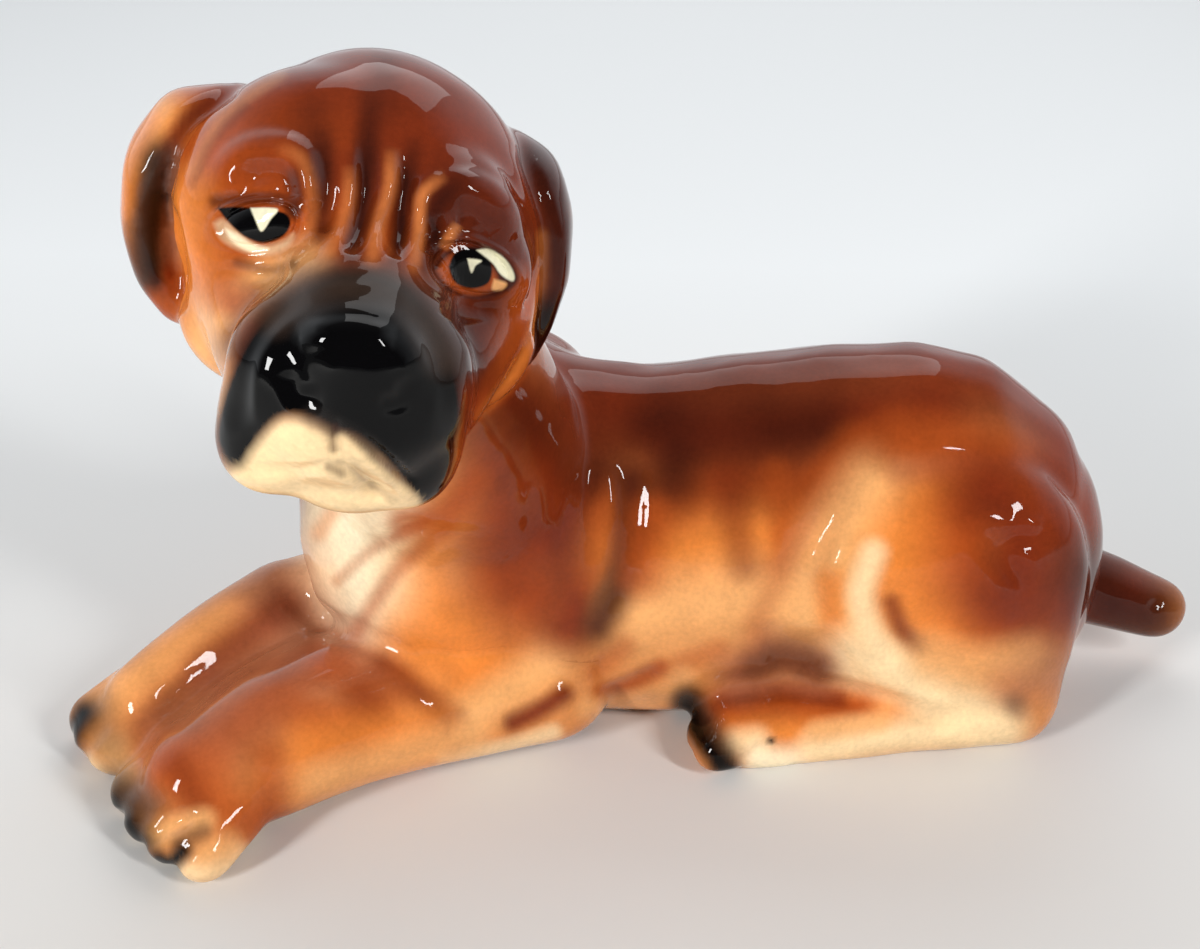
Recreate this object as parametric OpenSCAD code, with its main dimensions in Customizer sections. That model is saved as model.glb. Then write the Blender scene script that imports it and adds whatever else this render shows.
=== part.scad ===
// Glazed ceramic figurine of a puppy lying down, with its head turned to its left side.
// The real figure is slip-cast in separate hollow and solid pieces that are luted
// together with slip before firing: every module below is one of those castings.
// +X runs from the paws to the tail, -Y is the dog's left side, +Z is up.

/* [Body] */
// Length of the trunk from the middle of the shoulders to the rump
body_len = 82; // [72:1:100]
// Width of the trunk across the ribs
body_w = 42; // [36:1:50]
// Height of the back above the ground
body_h = 50; // [43:1:60]

/* [Head] */
// Width of the skull
skull_w = 36; // [30:1:43]
// Height of the skull from the throat to the crown
skull_h = 39; // [33:1:46]
// Length of the muzzle in front of the middle of the skull
muzzle_len = 26; // [22:1:31]
// Width of the muzzle across the jowls
muzzle_w = 24; // [20:1:28]
// Turn of the face away from the line of the body, in degrees
head_turn = 97; // [80:1:105]
// Sideways tilt of the head, in degrees
head_tilt = 11; // [0:1:16]

/* [Ears] */
// Length of an ear from its root to its tip
ear_len = 29; // [24:1:34]
// Thickness of an ear
ear_t = 5; // [4:0.5:7]

/* [Legs] */
// Length of a foreleg from the elbow to the middle of the paw
foreleg_len = 50; // [44:1:58]
// Thickness of a foreleg
foreleg_t = 19; // [16:1:21]
// Width of a forepaw across the toes
paw_w = 19; // [17:1:21]
// Length of a hind foot from the hock to the toes
hind_foot_len = 38; // [32:1:44]
// Height of a haunch
haunch_h = 40; // [34:1:46]

/* [Tail] */
// Length of the tail stub
tail_len = 19; // [15:1:24]
// Thickness of the tail at its root
tail_t = 12; // [10:1:14]

/* [Casting] */
// Thickness of the cast wall of the trunk and the head
wall = 3.5; // [3:0.5:5]
// Diameter of the vent hole under the belly
vent_d = 3.5; // [2.5:0.5:6]

/* [Hidden] */

glaze_brown = [0.45, 0.20, 0.10];
glaze_tan = [0.75, 0.45, 0.25];
glaze_dark = [0.25, 0.12, 0.09];

half_w = body_w / 2;
sink = 4;                       // depth by which the soft belly line runs below the ground cut
foot_sink = 1.5;                // the same for the feet

// Trunk sections from the shoulders to the rump:
// [place along the trunk, half width, top, bottom], the top as a share of body_h
trunk = [
    [0.00, 1.00, 1.04, -sink],
    [0.17, 0.95, 0.95, -sink],
    [0.34, 0.95, 0.97, -sink],
    [0.51, 1.00, 1.01, -sink],
    [0.68, 1.00, 1.00, -sink],
    [0.82, 0.92, 0.92, -sink],
    [0.91, 0.74, 0.77, -sink / 2],
    [0.96, 0.48, 0.56, sink],
];

chest = [-8, -4, 0.56 * body_h];
chest_r = [21, half_w, 0.54 * body_h];
neck_low = [-6, -9, 0.80 * body_h];
neck_high = [-10, -18, 1.12 * body_h];
neck_r = 0.44 * skull_w;

// Middle of the skull, above and to the left of the shoulders
skull = [-12.5, -29, body_h + 0.72 * skull_h];

elbow_left = [5, -0.33 * body_w, 0.5 * foreleg_t];
elbow_right = [-8, 0.12 * body_w, 0.5 * foreleg_t];
leg_dir = [-0.95, -0.31];       // way in which both forelegs point, on the ground
paw_dir = [-0.72, -0.69];       // the paws turn a little further outwards

toe_count = 4;
toe_r = 4.4;
toe_reach = 5;                  // from the middle of the paw to the outer toes
function wrist_at(elbow) =
    elbow + 0.72 * foreleg_len * [each leg_dir, 0] - [0, 0, 0.14 * foreleg_t];
function paw_at(elbow) = wrist_at(elbow) + 0.24 * foreleg_len * [each paw_dir, -0.12];

hip_x = 0.72 * body_len;
hip_y = 0.30 * body_w;
hind_splay = 0.16;              // sideways share of the length of a hind foot
hind_toe_y = 3.2;
hind_toe_r = 2.8;
tail_root = [0.93 * body_len, 4, 16];
tail_end = tail_root + tail_len * [0.92, 0.06, -0.38];
tail_end_r = 0.38 * tail_t;
nose_r = [6, 3.5, 4.5];
nose_out = muzzle_len + 7;

// The origin lies on the ground under the middle of the whole figure: between the outer
// toe of the right forepaw and the tail, and between the nose and the right hind toes.
low_x = paw_at(elbow_right)[0] - 1.8 * toe_r - toe_reach * abs(paw_dir[0]);
high_x = tail_end[0] + tail_end_r;
low_y = skull[1] - (nose_out + nose_r[1]) * sin(head_turn);
high_y = hip_y + hind_splay * hind_foot_len + hind_toe_y + hind_toe_r;
mid = [(low_x + high_x) / 2, (low_y + high_y) / 2];

// --- Shared shapes ---

module lump(place, radii, facets = 32) {
    translate(place) scale(radii) sphere(1, $fn = facets);
}

// Rounded limb through [x, y, z, radius] points
module limb(points, facets = 24) {
    for (i = [0 : len(points) - 2])
        hull() {
            lump([for (k = [0:2]) points[i][k]], points[i][3] * [1, 1, 1], facets);
            lump([for (k = [0:2]) points[i + 1][k]], points[i + 1][3] * [1, 1, 1], facets);
        }
}

module on_ground() {
    difference() {
        translate([-mid[0], -mid[1], 0]) children();
        translate([0, 0, -50]) cube([400, 400, 100], center = true);
    }
}

// One thin slice of the trunk, smaller all round by inset
module trunk_slice(s, inset = 0) {
    top = s[2] * body_h - inset;
    bottom = s[3] + inset;
    translate([s[0] * body_len, 0, (top + bottom) / 2])
        scale([1, s[1] * half_w - inset, (top - bottom) / 2])
            rotate([0, 90, 0]) cylinder(h = 0.1, r = 1, center = true, $fn = 40);
}

module trunk_skin(inset = 0) {
    for (i = [0 : len(trunk) - 2])
        hull() {
            trunk_slice(trunk[i], inset);
            trunk_slice(trunk[i + 1], inset);
        }
}

module torso_solid() {
    trunk_skin();
    hull() {
        lump(chest, chest_r);
        trunk_slice(trunk[0]);
    }
    hull() {
        lump(neck_low, neck_r * [1.08, 1.05, 1]);
        lump(neck_high, neck_r * [1, 1, 1]);
    }
    // shoulder muscles
    for (side = [-1, 1])
        hull() {
            lump([4, side * 0.24 * body_w, 0.66 * body_h], [12, 11, 14], 24);
            lump([8, side * 0.27 * body_w, 0.30 * body_h], [9, 9, 11], 24);
        }
    // rounded rump
    lump([0.83 * body_len, 0, 0.44 * body_h], [0.15 * body_len, 0.76 * half_w, 0.40 * body_h]);
}

// The slip drained out of one continuous cavity, from the skull down to the rump,
// that leaves the cast wall all round it
module cavity() {
    neck_bore = neck_r - wall;
    intersection() {
        union() {
            head_frame()
                scale([0.5 * skull_w - wall, 0.53 * skull_w - wall, 0.5 * skull_h - wall])
                    sphere(1, $fn = 32);
            hull() {
                lump(skull, 0.8 * neck_bore * [1, 1, 1], 24);
                lump(neck_high, 0.9 * neck_bore * [1, 1, 1], 24);
            }
            hull() {
                lump(neck_low, neck_bore * [1, 1, 1], 24);
                lump(neck_high, 0.9 * neck_bore * [1, 1, 1], 24);
            }
            lump(chest, chest_r - wall * [1, 1, 1], 24);
            trunk_skin(wall);
        }
        translate([0, 0, 500 + wall]) cube([1000, 1000, 1000], center = true);
    }
    translate([0.45 * body_len, 0, -1]) cylinder(h = 0.4 * body_h, d = vent_d, $fn = 24);
}

// The head's own frame: the dog's left along +X, the back of the head along +Y
module head_frame() {
    translate(skull)
        rotate([0, 0, head_turn - 90]) rotate([0, head_tilt, 0]) children();
}

module head_solid() {
    head_frame() {
        lump([0, 0, 0], [0.5 * skull_w, 0.53 * skull_w, 0.5 * skull_h], 40);
        for (side = [-1, 1]) {
            // cheek running forward into the jowl
            hull() {
                lump([side * 0.31 * skull_w, -3, -0.16 * skull_h], [7, 12, 10], 24);
                lump([side * 0.27 * muzzle_w, -0.7 * muzzle_len, -0.20 * skull_h], [6, 8, 8], 24);
            }
            // brow
            hull() {
                lump([side * 0.26 * skull_w, -0.34 * muzzle_len, 0.10 * skull_h], [7, 7, 7], 24);
                lump([side * 0.12 * skull_w, -0.36 * muzzle_len, 0.20 * skull_h], [7, 7, 8], 24);
            }
            // upper lip hanging over the mouth
            hull() {
                lump([side * 0.22 * muzzle_w, -muzzle_len, -0.08 * skull_h],
                     [0.28 * muzzle_w, 8.5, 8], 24);
                lump([side * 0.20 * muzzle_w, -0.92 * muzzle_len, -0.27 * skull_h],
                     [0.27 * muzzle_w, 7.5, 6.5], 24);
            }
        }
        // bridge of the muzzle, nose and chin
        hull() {
            lump([0, -0.4 * muzzle_len, 0.08 * skull_h], [9, 6, 8], 24);
            lump([0, -muzzle_len, 0], [0.35 * muzzle_w, 8.5, 7], 24);
        }
        lump([0, -nose_out, 0.06 * skull_h], nose_r, 24);
        lump([0, -0.86 * muzzle_len, -0.38 * skull_h], [7, 6.5, 4.5], 24);
    }
}

// An ear folds out from the side of the skull and hangs down: side is 1 for the dog's left.
module ear_solid(side, flare) {
    head_frame() {
        root = [side * 0.36 * skull_w, 2, 0.34 * skull_h];
        fold = [side * (0.5 * skull_w + flare), 1, 0.34 * skull_h - 0.3 * ear_len];
        low = [side * (0.5 * skull_w + 0.7 * flare), 0, 0.34 * skull_h - 0.65 * ear_len];
        tip = [side * (0.5 * skull_w - 0.5), -3, 0.36 * skull_h - 0.86 * ear_len];
        hull() {
            lump(root, [0.5 * ear_t, 8, 3], 24);
            lump(fold, [0.5 * ear_t, 8.5, 4], 24);
            lump([side * 0.36 * skull_w, 0, 0], [2, 7, 4], 24);
        }
        hull() {
            lump(fold, [0.5 * ear_t, 8.5, 4], 24);
            lump(low, [0.5 * ear_t, 7, 4], 24);
            lump([side * 0.36 * skull_w, 0, 0], [2, 7, 4], 24);
        }
        hull() {
            lump(low, [0.5 * ear_t, 7, 4], 24);
            lump(tip, [0.45 * ear_t, 3.5, 3], 24);
            lump([side * 0.36 * skull_w, 0, 0], [2, 7, 4], 24);
        }
    }
}

// Elbow, forearm and paw; the toes fan out across the front of the paw
module foreleg_solid(elbow) {
    r = foreleg_t / 2;
    along = [each leg_dir, 0];
    wrist = wrist_at(elbow);
    paw = paw_at(elbow);
    across = [paw_dir[1], -paw_dir[0], 0];
    limb([
        [each elbow, r],
        [each (elbow + 0.26 * foreleg_len * along), r],
        [each (elbow + 0.52 * foreleg_len * along), 0.96 * r],
        [each wrist, 0.80 * r],
        [each paw, 0.76 * r],
    ]);
    for (i = [0 : toe_count - 1]) {
        spread = (i / (toe_count - 1) - 0.5) * (paw_w - 2 * toe_r);
        reach = toe_reach + 1.2 * sin(180 * i / (toe_count - 1));
        hull() {
            lump([paw[0], paw[1], toe_r] + 0.7 * spread * across, [5, 5, 5.5], 20);
            lump([paw[0], paw[1], toe_r - foot_sink / 2] + spread * across
                 + reach * [each paw_dir, 0], toe_r * [1, 1, 1.05], 20);
        }
    }
}

module hind_leg_solid(side) {
    hock = [0.84 * body_len, side * hip_y, 6.5 - foot_sink];
    toes = hock + hind_foot_len * [-1, side * hind_splay, 0];
    // haunch and knee
    hull() {
        lump([hip_x, side * hip_y, 0.62 * haunch_h], [17, 10, 0.50 * haunch_h], 32);
        lump([hip_x - 14, side * (hip_y + 3), 0.72 * haunch_h], [7.5, 7, 9], 24);
    }
    hull() {
        lump([hip_x + 4, side * (hip_y - 1), 0.32 * haunch_h], [14, 9, 11], 24);
        lump([hip_x - 14, side * (hip_y + 3), 0.72 * haunch_h], [7.5, 7, 9], 24);
    }
    hull() {
        lump([hip_x + 4, side * (hip_y - 1), 0.32 * haunch_h], [14, 9, 11], 24);
        lump(hock, [7, 6, 6.5], 24);
    }
    limb([
        [each hock, 6.5],
        [each (hock + 0.35 * (toes - hock)), 6],
        [each (hock + 0.75 * (toes - hock)), 5.8],
        [each toes, 5.6],
    ]);
    for (i = [-1, 0, 1])
        hull() {
            lump(toes, [4, 4, 5], 20);
            lump(toes + [-4, hind_toe_y * i, -1.2], [3.6, hind_toe_r, 4], 20);
        }
}

module tail_solid() {
    limb([
        [each tail_root, tail_t / 2],
        [each (tail_root + tail_len * [0.50, 0.05, -0.22]), 0.46 * tail_t],
        [each tail_end, tail_end_r],
    ]);
}

// --- Castings ---

module torso() {
    color(glaze_brown) on_ground() difference() {
        torso_solid();
        head_solid();
        cavity();
    }
}

module head() {
    color(glaze_brown) on_ground() difference() {
        head_solid();
        cavity();
    }
}

module ear(side, flare) {
    color(glaze_dark) on_ground() difference() {
        ear_solid(side, flare);
        head_solid();
        torso_solid();
    }
}

module left_ear() { ear(1, 3); }

module right_ear() { ear(-1, 5.5); }

module left_foreleg() {
    color(glaze_tan) on_ground() difference() {
        foreleg_solid(elbow_left);
        torso_solid();
    }
}

module right_foreleg() {
    color(glaze_tan) on_ground() difference() {
        foreleg_solid(elbow_right);
        torso_solid();
        foreleg_solid(elbow_left);
    }
}

module left_hind_leg() {
    color(glaze_tan) on_ground() difference() {
        hind_leg_solid(-1);
        torso_solid();
    }
}

module right_hind_leg() {
    color(glaze_tan) on_ground() difference() {
        hind_leg_solid(1);
        torso_solid();
    }
}

module tail() {
    color(glaze_dark) on_ground() difference() {
        tail_solid();
        torso_solid();
        hind_leg_solid(-1);
        hind_leg_solid(1);
    }
}

torso();
head();
left_ear();
right_ear();
left_foreleg();
right_foreleg();
left_hind_leg();
right_hind_leg();
tail();
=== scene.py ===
import math

import bmesh
import bpy
import numpy as np
from mathutils import Matrix, Vector, kdtree


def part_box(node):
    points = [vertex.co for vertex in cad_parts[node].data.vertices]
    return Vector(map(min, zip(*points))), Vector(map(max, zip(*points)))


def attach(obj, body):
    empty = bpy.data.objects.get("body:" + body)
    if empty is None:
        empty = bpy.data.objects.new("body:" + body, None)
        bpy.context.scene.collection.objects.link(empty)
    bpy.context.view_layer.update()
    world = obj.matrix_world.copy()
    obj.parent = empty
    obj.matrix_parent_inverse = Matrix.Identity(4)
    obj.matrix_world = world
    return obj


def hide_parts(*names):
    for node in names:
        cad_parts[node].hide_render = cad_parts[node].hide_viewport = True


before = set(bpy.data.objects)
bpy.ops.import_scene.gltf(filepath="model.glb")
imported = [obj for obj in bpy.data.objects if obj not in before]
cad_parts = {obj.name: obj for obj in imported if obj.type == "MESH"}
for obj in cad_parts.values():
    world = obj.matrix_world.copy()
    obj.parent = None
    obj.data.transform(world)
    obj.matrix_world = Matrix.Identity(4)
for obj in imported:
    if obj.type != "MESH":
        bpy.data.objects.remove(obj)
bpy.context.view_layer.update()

# --- Trunk -----------------------------------------------------------------------------------
# The trunk, chest and neck of the puppy, slip-cast in white earthenware. Like a modeller's
# master it is built up here from soft lumps of clay, in millimetres from the point on the
# ground under the shoulders; the other parts are added to the same clay before tooling.

MM = 0.001
CHEST_FRONT = 29.0              # from the middle of the shoulders forward to the breast
RIB_HALF = 21.0                 # half width across the ribs
torso_low, torso_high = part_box("torso")
SHOULDERS = np.array([torso_low[0] / MM + CHEST_FRONT, torso_high[1] / MM - RIB_HALF, 0.0])


def lump(clay, place, radii, spare=0.0, detail=4):
    """An egg-shaped lump of clay, larger all round by spare."""
    radii = [max(r + spare, 0.5) for r in radii]
    matrix = Matrix.Translation(place) @ Matrix.Diagonal((*radii, 1.0))
    bmesh.ops.create_icosphere(clay, subdivisions=detail, radius=1.0, matrix=matrix)


def add(clay, more):
    """Presses the clay of one bmesh onto another."""
    mesh = bpy.data.meshes.new("part")
    more.to_mesh(mesh)
    more.free()
    clay.from_mesh(mesh)
    bpy.data.meshes.remove(mesh)


def drape(clay, *eggs, spare=0.0):
    """One skin of clay stretched over several eggs of (place, radii) at once."""
    bm = bmesh.new()
    for place, radii in eggs:
        lump(bm, place, radii, spare, detail=3)
    hull = bmesh.ops.convex_hull(bm, input=bm.verts[:])
    waste = set(hull["geom_interior"] + hull["geom_unused"])
    bmesh.ops.delete(bm, geom=[v for v in bm.verts if v in waste], context="VERTS")
    add(clay, bm)


def skin(clay, *eggs, spare=0.0):
    """A smooth length of clay over eggs, one pair after the next."""
    for pair in zip(eggs, eggs[1:]):
        drape(clay, *pair, spare=spare)


def roll(clay, *balls, spare=0.0):
    """A rolled length of clay through balls of [x, y, z, radius]."""
    skin(clay, *[(b[:3], (b[3],) * 3) for b in balls], spare=spare)


# Along the trunk: place, half width, top of the back
TRUNK = [
    (0, 20.0, 52.0),
    (9, 19.8, 49.0),
    (18, 19.4, 47.9),
    (30, 20.0, 49.8),
    (42, 20.8, 51.4),
    (53, 20.8, 52.0),
    (62, 19.2, 50.4),
    (70, 15.8, 44.0),
]
BELLY = -4.0


def shape_trunk(clay, spare=0.0):
    barrel = [((x, 0, (top + BELLY) / 2), (9.0, half, (top - BELLY) / 2)) for x, half, top in TRUNK]
    skin(clay, *barrel, spare=spare)
    skin(clay, ((-8, -4, 28), (20.5, 20.0, 27)), ((2, 0, 26), (12, 20, 26)), spare=spare)
    lump(clay, (67.5, 0, 21), (13.8, 16.4, 21), spare)
    roll(clay, (-6, -9, 40, 16.5), (-10, -18, 56, 15.8), (-12, -26, 66, 14), spare=spare)
    for side in (-1, 1):
        skin(clay, ((1, 9 * side, 36), (11.5, 12.3, 13.5)), ((6, 12 * side, 16), (10, 9.5, 12)), spare=spare)


# Tool marks as (width, depth, line), with depth outwards. Their lines are drawn as the
# modeller sees the figure from in front, in millimetres across from the near shoulder.
TRUNK_STROKES = [
    # behind, before and under the shoulder
    (1.8, -1.1, [(4.0, -2.0), (3.9, -8.0), (2.9, -13.5), (0.6, -18.5)]),
    (1.6, 0.55, [(0.6, -1.5), (1.7, -5.5), (1.8, -10.0), (0.4, -15.5)]),
    (2.6, -0.5, [(-11.5, -8.0), (-12.5, -13.0), (-11.5, -18.0)]),
    (1.6, 0.4, [(-4.6, -3.4), (-4.2, -8.0), (-5.2, -13.0)]),
    (1.8, -0.45, [(-1.0, -12.5), (-3.0, -17.0), (-4.6, -21.5)]),
    (1.3, -0.7, [(-4.0, -25.4), (-6.2, -26.9), (-8.4, -27.6)]),
    (1.7, 0.5, [(-3.2, -24.8)]),
    # ribs and belly
    (2.2, -0.3, [(13.3, -6.0), (14.2, -12.0)]),
    (1.8, -0.2, [(17.6, -5.0), (17.4, -11.0)]),
    (1.1, -0.6, [(1.0, -24.7), (4.0, -23.7), (6.6, -22.2)]),
    (1.1, -0.4, [(0.4, -22.6), (3.0, -20.4)]),
    (1.3, -0.4, [(8.6, -21.8), (12.0, -20.6)]),
    # folds of the breast, and where it meets the forelegs
    (1.3, -0.55, [(-24.4, -13.6), (-20.6, -10.3), (-15.6, -8.0)]),
    (1.4, -0.6, [(-22.6, -18.4), (-18.6, -12.6), (-13.6, -8.2)]),
    (1.2, -0.3, [(-26.4, -9.0), (-25.0, -7.0)]),
    (1.5, -1.0, [(-30.4, -12.5), (-28.0, -15.9), (-25.0, -17.9), (-21.0, -19.6), (-17.0, -22.2),
                 (-13.6, -26.2)]),
    (0.6, -0.5, [(-13.6, -26.6), (-13.2, -28.8)]),
]

# Ceramic colours, sprayed one over another on the cream slip as (colour, width, strength, line)
# Some of these lines are painted light: darker colour in creases and hollows is painted shade, and lighter
# or mauve lines along ridges and edges are painted highlight and painted reflection.
WHITE = (1.0, 0.93, 0.78)
CREAM = (0.99, 0.86, 0.66)
SAND = (0.93, 0.68, 0.43)
ORANGE = (0.90, 0.52, 0.22)
RUST = (0.66, 0.29, 0.10)
RED_BROWN = (0.47, 0.17, 0.07)
DARK = (0.25, 0.09, 0.05)
FIRST_COAT = (0.84, 0.54, 0.30)

TRUNK_SPRAYS = [
    # breast, neck and shoulder
    (WHITE, 11.0, 1.0, [(-30, -6), (-27, -10), (-24, -13)]),
    (WHITE, 7.0, 0.95, [(-23, -9), (-21, -14)]),
    (SAND, 5.0, 0.7, [(-17, -12), (-17, -19)]),
    (ORANGE, 6.0, 0.95, [(-16, -20), (-12, -20), (-10, -23)]),
    (ORANGE, 3.4, 0.8, [(-13, -7), (-15, -12), (-14, -17)]),
    (SAND, 3.0, 0.9, [(-12, -27), (-6, -23), (-4, -21)]),
    (RUST, 6.5, 1.0, [(-8, -2), (-8, -7), (-8, -13), (-6, -15)]),
    (RED_BROWN, 9.0, 1.0, [(-8, 4), (-5, -1), (-3, -6), (-4, -9)]),
    (RED_BROWN, 4.0, 0.95, [(0.4, -6), (0.4, -12), (-2, -18)]),
    (DARK, 4.5, 0.7, [(-6, 2), (-2, 1), (0, -2)]),
    # back and flank
    (ORANGE, 8.0, 0.9, [(7, -11), (14, -10), (20, -9)]),
    (SAND, 5.0, 0.85, [(5, -17), (11, -16), (16, -15)]),
    (RUST, 5.0, 0.9, [(5, -7), (12, -4), (20, -4), (24, -5)]),
    (RED_BROWN, 7.5, 1.0, [(2, 4), (8, 1), (16, 1), (24, 2), (33, 3)]),
    (RED_BROWN, 10.0, 1.0, [(4, 9), (16, 9), (30, 10), (40, 7), (46, 1), (48, -7)]),
    (DARK, 3.6, 0.8, [(6, 2), (8, 0), (8, -4)]),
    (DARK, 4.0, 0.6, [(9, 1.5), (16, 1), (23, 1)]),
    # darker along the crease behind the shoulder and in the rib grooves: painted shade
    (DARK, 2.4, 0.9, [(4.0, -4), (3.9, -9), (2.9, -14), (0.8, -18)]),
    (RUST, 3.0, 0.7, [(5.5, -8), (5, -13)]),
    (RED_BROWN, 2.4, 0.6, [(13.4, -4), (14, -8), (15, -12)]),
    (RUST, 1.8, 0.55, [(18, -3), (18.6, -9)]),
]
BELLY_SHADE_SPRAYS = [
    # rust along the belly creases: painted shade
    (RUST, 1.2, 0.85, [(1, -24.5), (4, -23.6), (6.8, -22.0)]),
    (RUST, 1.4, 0.5, [(0.5, -22.5), (3.4, -20)]),
    (RUST, 1.4, 0.45, [(8.6, -21.8), (12.4, -20.2)]),
    (SAND, 1.6, 0.6, [(0, -26), (7, -25), (9, -23)]),
]
ELBOW_AND_FOLD_SHADE_SPRAYS = [
    # elbow: the red-brown along its crease is painted shade
    (RED_BROWN, 1.4, 0.95, [(-2.6, -24.6), (-5.0, -26.2), (-7.4, -27.4)]),
    (CREAM, 1.2, 0.8, [(-3.6, -28.4), (-8, -29.8), (-14, -30.9)]),
    # folds of the breast, darkened along their creases as painted shade
    (RUST, 0.9, 0.5, [(-24.4, -13.6), (-20.6, -10.3), (-15.6, -8)]),
    (RUST, 1.2, 0.6, [(-22.6, -18.4), (-18.6, -12.6), (-13.6, -8.2)]),
    (RUST, 2.0, 0.8, [(-18, -8), (-14, -7), (-11, -4)]),
    (ORANGE, 1.2, 0.5, [(-26.2, -9), (-24.8, -6.8)]),
]

# --- Head ------------------------------------------------------------------------------------
# A hollow casting luted onto the neck. Its own frame has the dog's left along +X and the
# back of the head along +Y; it is turned to the dog's left side and tilted.

SKULL = Vector((-12.5, -29.0, 78.1))
TURN, TILT = math.radians(7), math.radians(11)
HEAD = Matrix.Translation(SKULL) @ Matrix.Rotation(TURN, 4, "Z") @ Matrix.Rotation(TILT, 4, "Y")


def shape_head(clay, spare=0.0):
    bm = bmesh.new()
    lump(bm, (0, 0, 0.4), (17.5, 19.0, 19.0), spare)
    lump(bm, (-2.4, -3, 3.0), (17.6, 15, 15.6), spare)
    for s in (-1, 1):
        # cheek, brow and hanging upper lip
        skin(bm, ((10.0 * s, -2, -3), (8.8, 11, 9.5)), ((6.5 * s, -18, -6.5), (6.5, 7, 7.5)), spare=spare)
        lump(bm, (10.6 * s, -4, -8.0), (8.0, 8.5, 8.0), spare)
        skin(bm, ((8.6 * s, -9.5, 2.5), (7.7, 7, 6.5)), ((5.5 * s, -10, 8), (8, 7, 7)), spare=spare)
        skin(bm, ((4.6 * s - 0.9, -25.0, -2.5), (6.8, 7.5, 6.6)),
             ((5.9 * s - 1.1, -23.5, -11.3), (5.9, 6.6, 6.0)), spare=spare)
    skin(bm, ((0, -10, 4), (8.5, 8, 7)), ((-0.5, -25.0, 0), (8.6, 7.5, 6.8)), spare=spare)
    lump(bm, (-0.6, -22.8, -5), (11.6, 11.5, 10.0), spare)
    skin(bm, ((-0.4, -29.0, 1.2), (6.4, 5.4, 4.6)), ((-0.4, -29.0, -3.5), (5.6, 5.2, 4.6)), spare=spare)
    skin(bm, ((0, -15, -9), (8, 8, 8)), ((0, -22.5, -13.5), (7.5, 7.2, 5)), spare=spare)
    bmesh.ops.transform(bm, matrix=HEAD, verts=bm.verts)
    add(clay, bm)


# Tool marks of the face, in millimetres across the sight line from between the eyes
FACE_STROKES = [
    # brows, raised in an arch over each eye, and the hollow under them
    (2.0, 1.0, [(-15.3, 5.0), (-12.5, 8.4), (-9.4, 9.4), (-6.8, 8.6), (-5.7, 6.2), (-5.6, 3.2),
                (-6.2, 0.2)]),
    (1.9, 0.9, [(7.2, 0.2), (6.8, 3.4), (8.1, 5.6), (10.6, 5.4), (12.9, 3.5), (14.6, 0.8)]),
    (1.6, -0.45, [(-13.0, 6.2), (-10.5, 6.9), (-8.0, 6.3), (-7.4, 4.6)]),
    (1.4, -0.35, [(8.4, 2.6), (10.5, 2.6), (12.4, 1.2)]),
    # wrinkles between them: ridges, and the creases beside them
    (1.2, 0.42, [(-1.9, 9.5), (-1.8, 4.5), (-3.0, 1.0), (-4.6, -0.6)]),
    (1.1, 0.55, [(1.9, 10.0), (2.1, 6.0), (1.0, 2.4), (0.4, -1.4)]),
    (1.1, 0.6, [(7.0, 7.0), (5.4, 5.6), (4.9, 3.4), (4.9, 0.8), (4.4, -1.6)]),
    (1.0, 0.4, [(8.5, 1.8), (7.5, 0.2)]),
    (1.3, -0.6, [(-4.3, 9.5), (-4.2, 4.6), (-4.6, 1.2)]),
    (1.2, -0.6, [(-0.2, 12.5), (-0.1, 6.0), (-0.9, 2.0), (-2.0, -0.8)]),
    (1.1, -0.6, [(4.0, 9.0), (3.5, 5.0), (3.1, 2.0), (2.5, -1.2)]),
    (1.1, -0.6, [(8.6, 6.6), (6.8, 4.4), (6.4, 1.5), (6.0, -0.8)]),
    # jowl folds
    (1.5, -0.5, [(-6.0, -4.4), (-9.3, -6.8), (-11.4, -9.6), (-12.4, -12.8), (-12.5, -16.0),
                 (-12.0, -18.0)]),
    (1.4, -0.25, [(4.0, -6.2), (6.0, -9.0), (7.2, -11.8), (7.7, -15.0), (7.3, -18.5)]),
    # the mouth, the cleft of the upper lip and the fold beside it
    (0.8, -0.6, [(-3.2, -16.5), (-3.2, -20.4)]),
    (0.8, -0.55, [(-3.4, -21.0), (-1.0, -22.6), (1.8, -24.6)]),
    (0.8, -0.35, [(-3.2, -21.2), (-7.5, -21.8), (-11.5, -21.4)]),
    (1.1, 0.6, [(-2.4, -18.8), (1.0, -21.4), (4.6, -24.4)]),
    (0.9, -0.5, [(-0.9, -18.4), (1.7, -20.6), (4.2, -23.2)]),
    # nose pad: edge along its top, and the nostrils
    (1.6, 0.4, [(-6.8, -8.9), (-1.9, -8.4), (2.6, -9.2)]),
    (1.3, -0.3, [(-8.2, -12.0), (-7.0, -14.5), (-4.6, -14.9)]),
    (1.3, -0.3, [(3.9, -12.4), (3.0, -15.0), (0.9, -15.2)]),
    # folds below the eyes
    (1.2, -0.3, [(-14.6, -2.2), (-11.0, -3.0), (-7.5, -2.2)]),
    (1.0, -0.3, [(7.0, -5.6), (9.8, -6.6), (12.6, -6.2)]),
]
# Each eye is an almond ball in its socket: its middle, half width, half height and lean
EYES = [((-10.8, 2.1), 3.7, 2.0, 0.14), ((10.3, -2.3), 3.8, 2.2, -0.36)]
BALL_RISE, SOCKET_SINK = 1.0, 1.0
LID_RISE, UPPER_LID_MORE = 0.42, 0.2

# tan, used only as painted highlight along the ridges of the wrinkles and the brow
RIDGE_HIGHLIGHT_TAN = (0.80, 0.47, 0.25)
SMOKE = (0.17, 0.15, 0.14)
SOOT = (0.23, 0.17, 0.135)
BLACK = (0.01, 0.01, 0.014)
EYE_RIM = (0.84, 0.66, 0.50)
EYE_WHITE = (0.95, 0.93, 0.80)

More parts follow.
